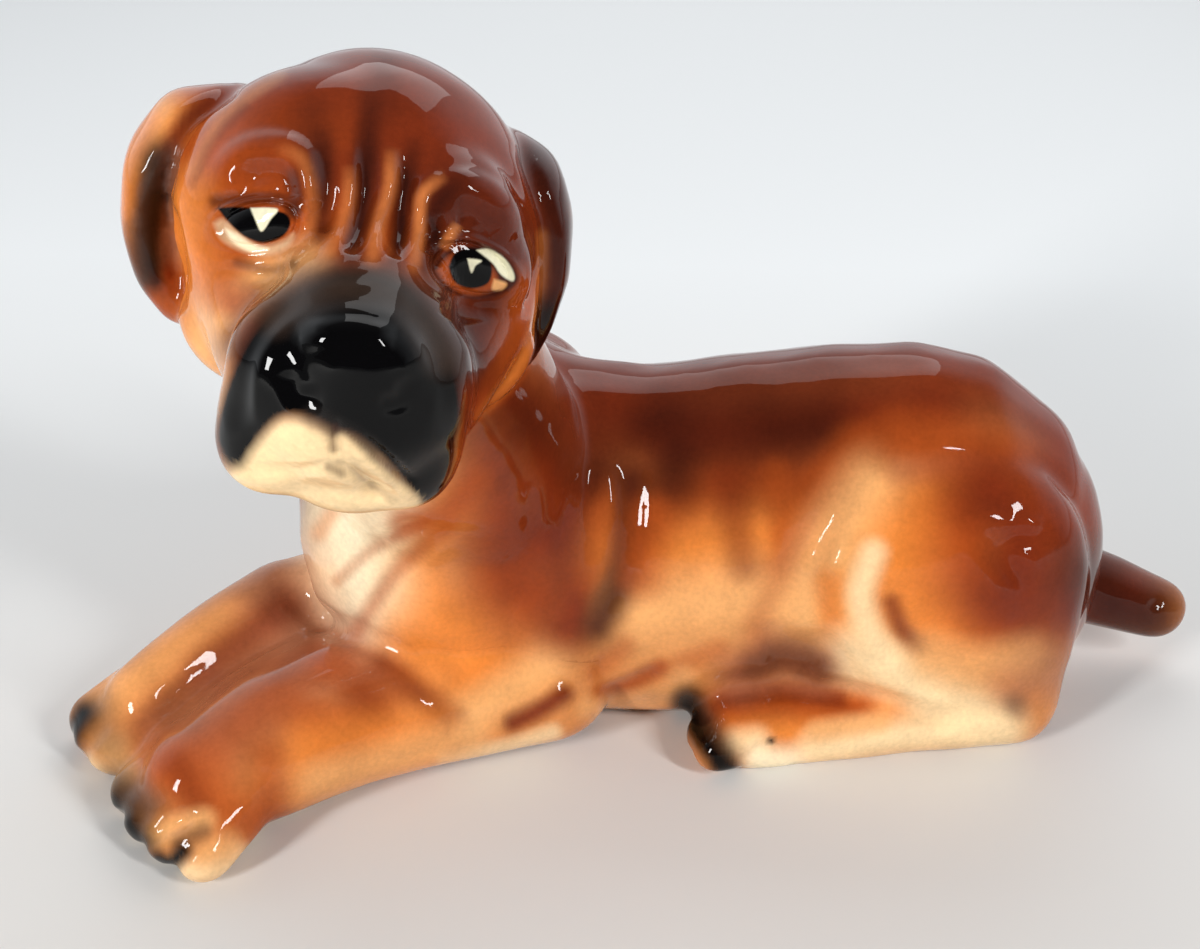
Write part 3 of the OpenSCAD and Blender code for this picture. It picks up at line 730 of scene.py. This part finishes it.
# finer over the face, and finest round the eyes: (spots, how far round them, cuts)
FACE_SPOTS, EYE_SPOTS = [(-1.5, -7.5)], [(-10.8, 2.2), (10.2, -2.3)]
for spots, reach, cuts in ((FACE_SPOTS, 17.5, 1), (EYE_SPOTS, 5.6, 2)):
    co, ends = weld(master)
    face = sight(co) - BETWEEN_EYES
    near = np.min([np.linalg.norm(face - s, axis=1) for s in spots], axis=0) < reach
    closer(master, near & (in_head(co) > 0.5) & (facing(normals(master)) > 0.05), cuts)


def eye_shape(points, place, half_w, half_h, lean):
    """0 at the middle of the eye and 1 along its lids."""
    p = points - place
    c, s = math.cos(lean), math.sin(lean)
    return np.hypot((p[:, 0] * c + p[:, 1] * s) / half_w, (p[:, 1] * c - p[:, 0] * s) / half_h)


co, ends = weld(master)
n = normals(master)
head = in_head(co)
near_side = np.clip(facing(n) * 4, 0, 1)
far_side = np.clip(facing(n * FAR_SIDE) * 4, 0, 1) * (1 - near_side)
face = sight(co) - BETWEEN_EYES
body = sight(co) - SHOULDER_SPOT
twin = sight(co * FAR_SIDE) - SHOULDER_SPOT
TOOL_EDGE = 1.2                 # a mark fades out this much wider than the tool
push = np.zeros(len(co))
for width, depth, path in FACE_STROKES + EAR_STROKES:
    push += depth * dab(face, TOOL_EDGE * width, path, lift=True) * head * near_side
for width, depth, path in TRUNK_STROKES + FORELEG_STROKES + HIND_LEG_STROKES + TAIL_STROKES:
    push += depth * (1 - head) * (dab(body, TOOL_EDGE * width, path, lift=True) * near_side
                                  + dab(twin, TOOL_EDGE * width, path, lift=True) * far_side)
for eye in EYES:
    d = eye_shape(face, *eye)
    above = np.clip((face[:, 1] - eye[0][1]) / eye[2], -1, 1)
    ball = BALL_RISE * np.sqrt(np.clip(1 - d ** 2, 0, 1))
    socket = SOCKET_SINK * np.exp(-(d / 1.5) ** 4)
    lids = (LID_RISE + UPPER_LID_MORE * above) * np.exp(-((d - 1.25) / 0.2) ** 2)
    push += head * near_side * (ball - socket + lids)
co = co + n * push[:, None]
# the slight waviness of hand-smoothed clay: (way, length, height)
WAVES = [((1, 0.3, 0.5), 13, 0.05), ((-0.3, 1, 0.8), 9, 0.03), ((0.6, -0.5, 1), 6.5, 0.02)]
for way, length, height in WAVES:
    co = co + n * (height * np.sin(co @ np.array(way) * 2 * math.pi / length))[:, None]
put(master, sponge(co, ends, 1))

# --- Paint and glaze -------------------------------------------------------------------------
# All the pieces are sprayed and brushed as one, the darkest colours last, and dipped in a
# clear glossy glaze. The far side is painted as the mirror of the near one.


def linear(colour):
    """Light reflected, from a colour as it is seen."""
    c = np.array(colour)
    return np.where(c < 0.04045, c / 12.92, ((c + 0.055) / 1.055) ** 2.4)


def spray(coat, points, sprays, lift=False):
    for colour, width, strength, path in sprays:
        much = (strength * dab(points, width * 1.25, path, lift))[:, None]
        coat += much * (linear(colour) - coat)


def brush(coat, points, shapes):
    for colour, soft, outline in shapes:
        line = np.array(curve([*outline, outline[0]]))
        near = ((points > line.min(0) - 2) & (points < line.max(0) + 2)).all(1)
        p = points[near]
        a, b = line, np.roll(line, -1, axis=0)
        crossed = np.zeros(len(p), dtype=bool)
        for (ax, ay), (bx, by) in zip(a, b):
            if ay != by:
                beside = p[:, 0] < (bx - ax) * (p[:, 1] - ay) / (by - ay) + ax
                crossed ^= ((ay > p[:, 1]) != (by > p[:, 1])) & beside
        depth = distance(p, np.vstack([line, line[:1]]))[0] * np.where(crossed, 1, -1)
        much = np.zeros(len(points))
        much[near] = np.clip(0.5 + depth / (2 * soft), 0, 1)
        coat += much[:, None] * (linear(colour) - coat)


BODY_SPRAYS = (TRUNK_SPRAYS + THIGH_SPRAYS + BELLY_SHADE_SPRAYS + HIND_FOOT_SPRAYS + ELBOW_AND_FOLD_SHADE_SPRAYS
               + TAIL_SPRAYS + FORELEG_SPRAYS)


def paint(piece, name):
    """Sprays and brushes one casting."""
    co, _ = weld(piece)
    front = np.clip(facing(normals(piece)) * 3 + 0.9, 0, 1)[:, None]
    near, far = (np.tile(linear(FIRST_COAT), (len(co), 1)) for _ in range(2))
    spray(near, sight(co) - SHOULDER_SPOT, BODY_SPRAYS)
    spray(far, sight(co * FAR_SIDE) - SHOULDER_SPOT, BODY_SPRAYS)
    coat = front * near + (1 - front) * far
    # the back of the neck is red-brown on both sides
    nape = np.clip((co[:, 2] - 0.5 * co[:, 0] - 28) / 20, 0, 1) * np.clip((co[:, 1] + 19) / 12, 0, 1)
    coat += nape[:, None] * (linear(RED_BROWN) - coat)
    head = in_head(co)[:, None]
    if head.any():
        face = sight(co) - BETWEEN_EYES
        skull = np.tile(linear(RUST), (len(co), 1))
        spray(skull, face, HEAD_SPRAYS)
        # painted shade in the wrinkle creases and painted highlight on their ridges
        spray(skull, face, WRINKLE_SHADE_AND_HIGHLIGHT, lift=True)
        brush(skull, face, MUZZLE_PAINT)
        spray(skull, face, LIP_SPRAYS)
        brush(skull, face, EYE_PAINT)
        if name in EAR_SIDE:
            spray(skull, face, EAR_SPRAYS)
        skull = front * skull + (1 - front) * linear(RED_BROWN)
        coat = head * skull + (1 - head) * coat
    colours = piece.data.color_attributes.new("glaze", "FLOAT_COLOR", "POINT")
    opaque = np.ones((len(co), 1))
    colours.data.foreach_set("color", np.hstack([coat, opaque]).ravel().astype(np.float32))


def grains(tree, place, scale, detail):
    """Mottling of the given fineness, per metre, through the whole clay."""
    noise = tree.nodes.new("ShaderNodeTexNoise")
    noise.inputs["Scale"].default_value = scale
    noise.inputs["Detail"].default_value = detail
    tree.links.new(place.outputs["Object"], noise.inputs["Vector"])
    return noise.outputs["Fac"]


def between(tree, value, start, end, low, high):
    """Spreads a value that runs from start to end over low to high."""
    spread = tree.nodes.new("ShaderNodeMapRange")
    for name, number in (("From Min", start), ("From Max", end), ("To Min", low), ("To Max", high)):
        spread.inputs[name].default_value = number
    tree.links.new(value, spread.inputs["Value"])
    return spread.outputs["Result"]


glazed = bpy.data.materials.new("glazed_ceramic")
glazed.use_nodes = True
tree = glazed.node_tree
shader = tree.nodes["Principled BSDF"]
place = tree.nodes.new("ShaderNodeTexCoord")
speck = grains(tree, place, 1600, 3)
cloud = grains(tree, place, 150, 4)
both = tree.nodes.new("ShaderNodeMath")
both.operation = "MULTIPLY_ADD"
both.inputs[1].default_value = 0.5
tree.links.new(speck, both.inputs[0])
tree.links.new(cloud, both.inputs[2])
sprayed = tree.nodes.new("ShaderNodeAttribute")
sprayed.attribute_name = "glaze"
mottled = tree.nodes.new("ShaderNodeVectorMath")
mottled.operation = "SCALE"
tree.links.new(sprayed.outputs["Color"], mottled.inputs[0])
tree.links.new(between(tree, both.outputs["Value"], 0.45, 1.05, 0.80, 1.16), mottled.inputs["Scale"])
tree.links.new(mottled.outputs["Vector"], shader.inputs["Base Color"])
tree.links.new(between(tree, cloud, 0, 1, 0.32, 0.55), shader.inputs["Roughness"])
peel = tree.nodes.new("ShaderNodeBump")
peel.inputs["Strength"].default_value = 0.25
peel.inputs["Distance"].default_value = 0.0002
tree.links.new(speck, peel.inputs["Height"])
tree.links.new(peel.outputs["Normal"], shader.inputs["Normal"])
shader.inputs["Specular IOR Level"].default_value = 0.0
shader.inputs["IOR"].default_value = 1.5
shader.inputs["Coat Weight"].default_value = 1.0
shader.inputs["Coat Roughness"].default_value = 0.025
shader.inputs["Coat IOR"].default_value = 1.27

# --- The nine castings -----------------------------------------------------------------------
# The master is cut into the pieces that are cast on their own and luted together again:
# each piece takes its own swelling of clay, and the torso and head are hollow.

THROAT_TILT = math.atan(0.24)
WALL = 3.5                      # thickness of the cast wall
VENT = 3.5                      # width of the vent hole under the belly
VENT_PLACE = (36.9, 0.0)
SEAM_SPARE = 1.5                # how far a piece's own swelling is taken out beyond its shape
TRUNK_UNDER, HEAD_UNDER = -2.0, -1.4    # how deep legs and ears are let into the clay
CRUMB = 300                     # points, at most, of a crumb that a cut leaves


def blank(name, shape, *args, spare=0.0, floor_at=None):
    """A plain closed block of one part's shape, to cut with."""
    clay = bmesh.new()
    shape(clay, *args, spare=spare)
    ob = solid(clay, name, 1.0)
    co, ends = weld(ob)
    co = sponge(co, ends, 8)
    if floor_at is not None:
        co[:, 2] = np.maximum(co[:, 2], floor_at)
    ob.data.vertices.foreach_set("co", ((co + SHOULDERS) * MM).ravel())
    return ob


def cut(ob, how, tool):
    """The mesh left when one block is taken from, or kept within, another."""
    blade = ob.modifiers.new("cut", "BOOLEAN")
    blade.operation = how
    blade.solver = "MANIFOLD"
    blade.object = tool
    mesh = bpy.data.meshes.new_from_object(ob.evaluated_get(bpy.context.evaluated_depsgraph_get()))
    ob.modifiers.clear()
    return mesh


def drop_crumbs(mesh):
    """Throws away the crumbs that a cut leaves beside the piece."""
    bm = bmesh.new()
    bm.from_mesh(mesh)
    left, bits = set(bm.verts), []
    while left:
        bit, rim = set(), [left.pop()]
        while rim:
            v = rim.pop()
            bit.add(v)
            beside = {e.other_vert(v) for e in v.link_edges} & left
            left -= beside
            rim += beside
        bits.append(bit)
    bits.sort(key=len)
    crumbs = [v for bit in bits[:-1] if len(bit) < CRUMB for v in bit]
    bmesh.ops.delete(bm, geom=crumbs, context="VERTS")
    bm.to_mesh(mesh)
    bm.free()


def whole_skin(ob):
    """The uncut surface, to find its nearest point from anywhere, and which way it faces there."""
    tree = kdtree.KDTree(len(ob.data.vertices))
    for v in ob.data.vertices:
        tree.insert(v.co, v.index)
    tree.balance()
    return tree, normals(ob)


def shade_as_whole(piece, tree, facing_out):
    """Lets the glaze run smoothly over the seams, as it does over the luted figure."""
    me = piece.data
    me.set_sharp_from_angle(angle=math.radians(45))
    found = [tree.find(v.co) for v in me.vertices]
    near = np.array([f[2] for f in found]) < 0.0006
    out = facing_out[[f[1] for f in found]]
    corners = np.empty(len(me.loops), dtype=np.int64)
    me.loops.foreach_get("vertex_index", corners)
    sides = np.empty(len(me.polygons), dtype=np.int64)
    me.polygons.foreach_get("loop_total", sides)
    flat = np.empty(len(me.polygons) * 3)
    me.polygons.foreach_get("normal", flat)
    flat = np.repeat(flat.reshape(-1, 3), sides, axis=0)
    outside = near[corners] & ((flat * out[corners]).sum(1) > 0.45)
    me.normals_split_custom_set(np.where(outside[:, None], out[corners], 0.0).tolist())


def part_off(source, name, tool):
    """Takes the piece inside the tool out of the source."""
    piece = bpy.data.objects.new(name, cut(source, "INTERSECT", tool))
    bpy.context.scene.collection.objects.link(piece)
    source.data = cut(source, "DIFFERENCE", tool)
    return piece


def solid_tool(bm, name):
    """Makes a cutting tool of a bmesh in millimetres from the shoulders."""
    bmesh.ops.translate(bm, verts=bm.verts, vec=SHOULDERS)
    bmesh.ops.scale(bm, verts=bm.verts, vec=(MM, MM, MM))
    mesh = bpy.data.meshes.new(name)
    bm.to_mesh(mesh)
    bm.free()
    ob = bpy.data.objects.new(name, mesh)
    bpy.context.scene.collection.objects.link(ob)
    return ob


def above_throat():
    bm = bmesh.new()
    bmesh.ops.create_cube(bm, size=120.0)
    bmesh.ops.translate(bm, verts=bm.verts, vec=(0, 0, 60))
    bmesh.ops.rotate(bm, verts=bm.verts, matrix=Matrix.Rotation(THROAT_TILT, 3, "X"))
    bmesh.ops.translate(bm, verts=bm.verts, vec=(-12, -46, 57))
    return solid_tool(bm, "above_throat")


def vent():
    bm = bmesh.new()
    bmesh.ops.create_cone(bm, cap_ends=True, segments=32, radius1=VENT / 2, radius2=VENT / 2, depth=20.0)
    bmesh.ops.translate(bm, verts=bm.verts, vec=(*VENT_PLACE, 5.0))
    return solid_tool(bm, "vent")


trunk_core = blank("trunk_core", shape_trunk, spare=TRUNK_UNDER)
head_core = blank("head_core", shape_head, spare=HEAD_UNDER)
master.name = "torso"
pieces = {"torso": master}
skin_tree, skin_way = whole_skin(master)
pieces["head"] = part_off(master, "head", above_throat())


def let_out(source, core, name, shape, *args):
    """Takes one part's swelling out of the clay, down to the core that it was luted onto."""
    swelling = blank("swelling", shape, *args, spare=SEAM_SPARE)
    swelling.data = cut(swelling, "DIFFERENCE", core)
    pieces[name] = part_off(source, name, swelling)
    bpy.data.objects.remove(swelling)


for name in EAR_SIDE:
    let_out(pieces["head"], head_core, name, shape_ear, name)
for side in LEG_BALLS:
    let_out(master, trunk_core, side + "_foreleg", shape_foreleg, side)
for side in LEG_BALLS:
    let_out(master, trunk_core, side + "_hind_leg", shape_hind_leg, side)
let_out(master, trunk_core, "tail", shape_tail)

bore = blank("bore", shape_trunk, spare=-WALL, floor_at=WALL)
skull_bore = blank("skull_bore", shape_head, spare=-WALL)
pieces["head"].data = cut(pieces["head"], "DIFFERENCE", bore)
pieces["head"].data = cut(pieces["head"], "DIFFERENCE", skull_bore)
master.data = cut(master, "DIFFERENCE", bore)
master.data = cut(master, "DIFFERENCE", vent())
for name in ("trunk_core", "head_core", "above_throat", "bore", "vent", "skull_bore"):
    bpy.data.objects.remove(bpy.data.objects[name])

for name, piece in pieces.items():
    drop_crumbs(piece.data)
    piece.data.polygons.foreach_set("use_smooth", [True] * len(piece.data.polygons))
    paint(piece, name)
    shade_as_whole(piece, skin_tree, skin_way)
    piece.data.materials.clear()
    piece.data.materials.append(glazed)
    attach(piece, "root")
    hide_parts(name)

# --- Light and ground ------------------------------------------------------------------------
# A pale cloth on a table before a bright wall, with small windows on both sides and a large
# one behind. The cloth's colour is painted whiter towards the wall, as painted light for the brighter light
# there.

CLOTH_SHADED_NEAR, CLOTH_LIT_FAR = (0.68, 0.672, 0.65, 1), (0.96, 0.99, 1.0, 1)
WALL_LOW, WALL_HIGH, ROOM = (0.92, 0.96, 1, 1), (0.16, 0.15, 0.15, 1), (0.13, 0.12, 0.12, 1)

floor_mesh = bpy.data.meshes.new("floor")
bm = bmesh.new()
bmesh.ops.create_grid(bm, x_segments=1, y_segments=1, size=1.6)
bm.to_mesh(floor_mesh)
bm.free()
floor = bpy.data.objects.new("floor", floor_mesh)
bpy.context.scene.collection.objects.link(floor)
pale = bpy.data.materials.new("pale_cloth")
pale.use_nodes = True
tree = pale.node_tree
cloth = tree.nodes["Principled BSDF"]
place = tree.nodes.new("ShaderNodeTexCoord")
split = tree.nodes.new("ShaderNodeSeparateXYZ")
tree.links.new(place.outputs["Object"], split.inputs["Vector"])
# the cloth's colour, darker near the front and whiter towards the wall: painted light
painted_light_falloff = tree.nodes.new("ShaderNodeMix")
painted_light_falloff.data_type = "RGBA"
painted_light_falloff.inputs["A"].default_value = CLOTH_SHADED_NEAR
painted_light_falloff.inputs["B"].default_value = CLOTH_LIT_FAR
tree.links.new(between(tree, split.outputs["Y"], -0.05, 0.17, 0, 1), painted_light_falloff.inputs["Factor"])
tree.links.new(painted_light_falloff.outputs["Result"], cloth.inputs["Base Color"])
cloth.inputs["Roughness"].default_value = 0.9
cloth.inputs["Specular IOR Level"].default_value = 0.1
floor_mesh.materials.append(pale)

world = bpy.data.worlds.new("studio")
bpy.context.scene.world = world
world.use_nodes = True
tree = world.node_tree
way = tree.nodes.new("ShaderNodeTexCoord")
split = tree.nodes.new("ShaderNodeSeparateXYZ")
tree.links.new(way.outputs["Generated"], split.inputs["Vector"])
height = tree.nodes.new("ShaderNodeValToRGB")
for stop, place, colour in zip(height.color_ramp.elements, (0.55, 0.85), (WALL_LOW, WALL_HIGH)):
    stop.position = place
    stop.color = colour
tree.links.new(split.outputs["Z"], height.inputs["Fac"])
room = tree.nodes.new("ShaderNodeMix")
room.data_type = "RGBA"
room.inputs["A"].default_value = ROOM
tree.links.new(between(tree, split.outputs["Y"], -0.35, 0.25, 0, 1), room.inputs["Factor"])
tree.links.new(height.outputs["Color"], room.inputs["B"])
tree.links.new(room.outputs["Result"], tree.nodes["Background"].inputs["Color"])
tree.nodes["Background"].inputs["Strength"].default_value = 1.08


def lamp(name, place, aim, size, energy):
    light = bpy.data.objects.new(name, bpy.data.lights.new(name, "AREA"))
    bpy.context.scene.collection.objects.link(light)
    light.data.shape = "RECTANGLE"
    light.data.size, light.data.size_y = size
    light.data.energy = energy
    light.location = place
    light.rotation_euler = (Vector(aim) - light.location).to_track_quat("-Z", "Y").to_euler()


lamp("right_window", (0.40, -0.33, 0.34), (0, 0, 0.05), (0.06, 0.22), 2.0)
lamp("left_window", (-0.42, -0.42, 0.26), (-0.03, 0, 0.05), (0.08, 0.20), 2.8)
lamp("back_window", (0.08, 0.55, 0.60), (0.05, 0.22, 0.0), (0.50, 0.40), 1.3)
bpy.context.scene.view_settings.view_transform = "Standard"
